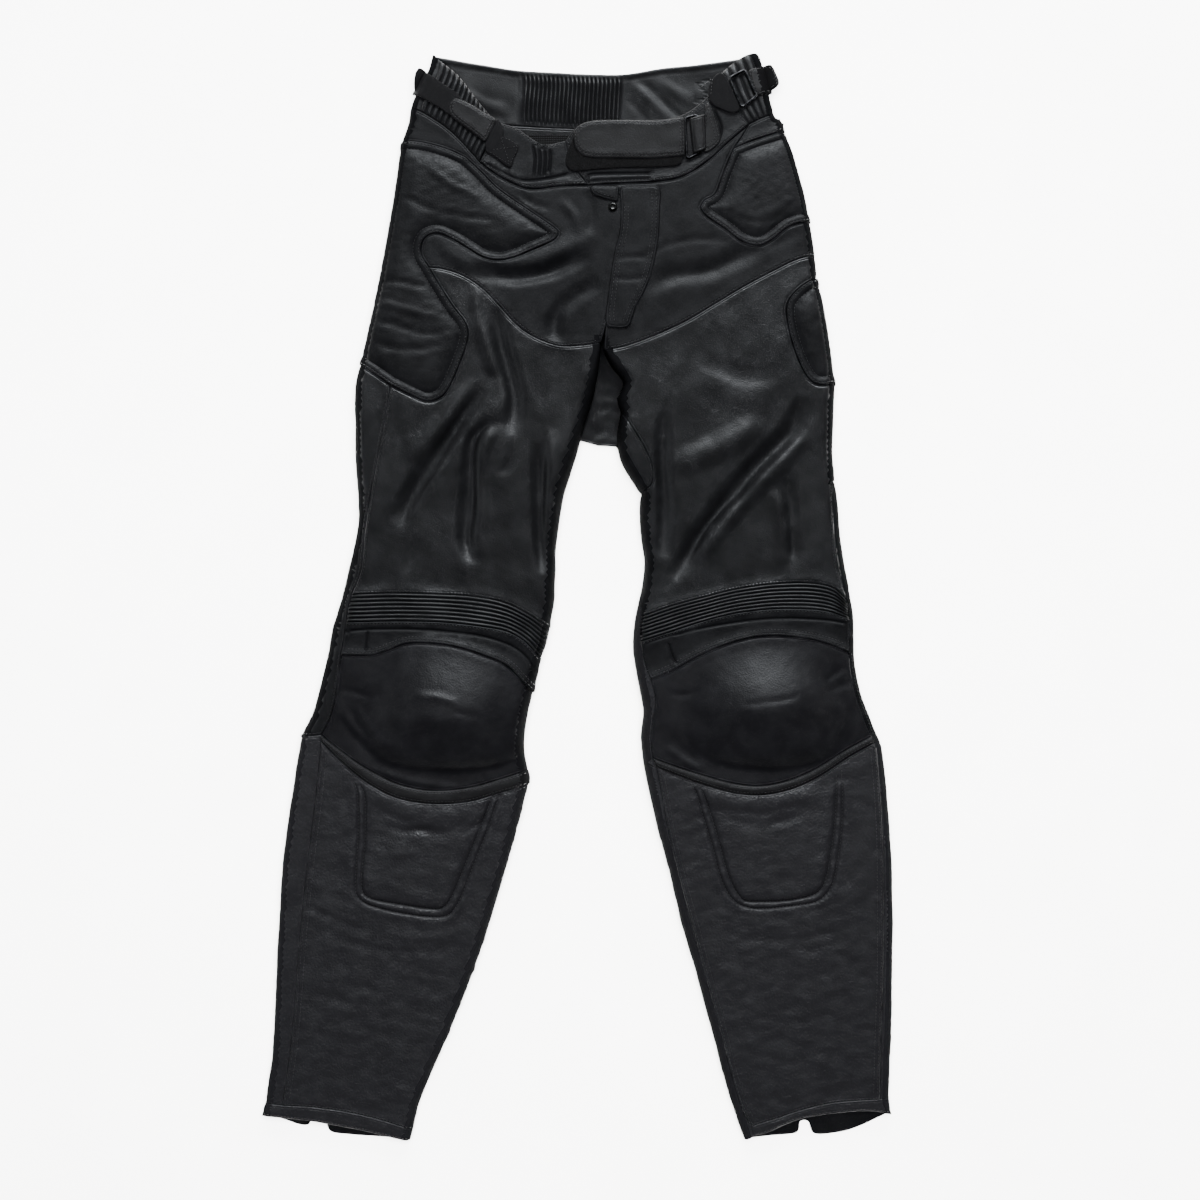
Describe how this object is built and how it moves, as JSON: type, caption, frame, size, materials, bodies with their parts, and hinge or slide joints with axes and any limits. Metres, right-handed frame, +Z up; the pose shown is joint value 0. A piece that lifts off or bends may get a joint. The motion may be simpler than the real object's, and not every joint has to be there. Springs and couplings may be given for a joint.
{
  "type": "leather motorcycle trousers laid flat",
  "caption": "Black leather motorcycle trousers laid flat, front up, with padded hips, domed knee cups, ribbed stretch panels, a buckled waistband and open hems.",
  "frame": {"origin": "centre of the bounding box of the laid trousers, on the surface that they lie on", "axes": "+Y along the legs towards the waist, +X towards the side of the closing ring (the wearer's left), +Z up out of the surface"},
  "size_m": [0.6276, 1.0806, 0.0485],
  "materials": {
    "leather": "fine pebbled grain, satin",
    "padded": "fine pebbled grain over foam, satin",
    "elastic": "leather gathered on elastic, satin",
    "webbing": "matt woven",
    "metal": "dark plated wire"
  },
  "bodies": {
    "root": {"back_band": "elastic", "back_calf_left": "leather", "back_calf_right": "leather", "back_seat_left": "leather", "back_seat_right": "leather", "back_thigh_left": "leather", "back_thigh_right": "leather", "closing_base": "webbing", "closing_keeper": "leather", "closing_ring": "metal", "closing_tab": "leather", "fly_placket": "leather", "fly_top": "leather", "front_band_left": "leather", "front_band_right": "leather", "front_hip_left": "leather", "front_hip_right": "leather", "gusset": "leather", "hem_left": "leather", "hem_right": "leather", "hip_pad_left": "padded", "hip_pad_right_lower": "padded", "hip_pad_right_upper": "padded", "inner_strip_right": "leather", "knee_band_left": "leather", "knee_band_right": "leather", "knee_binding_left": "leather", "knee_binding_right": "leather", "knee_cup_left": "padded", "knee_cup_right": "padded", "knee_ribs_left": "elastic", "knee_ribs_right": "elastic", "press_stud": "metal", "shin_left": "leather", "shin_right": "leather", "shin_strip_left": "leather", "shin_strip_right": "leather", "side_patch_left": "leather", "side_ring_right": "metal", "side_strip_left": "leather", "side_strip_right": "leather", "side_tab_left": "leather", "side_tab_right": "leather", "side_waist_left": "elastic", "side_waist_right": "elastic", "side_yoke_right": "leather", "strap_patch_right": "leather", "thigh_inner_right": "leather", "thigh_left": "leather", "thigh_right": "leather", "webbing_left": "webbing", "webbing_right": "webbing"}
  },
  "joints": []
}
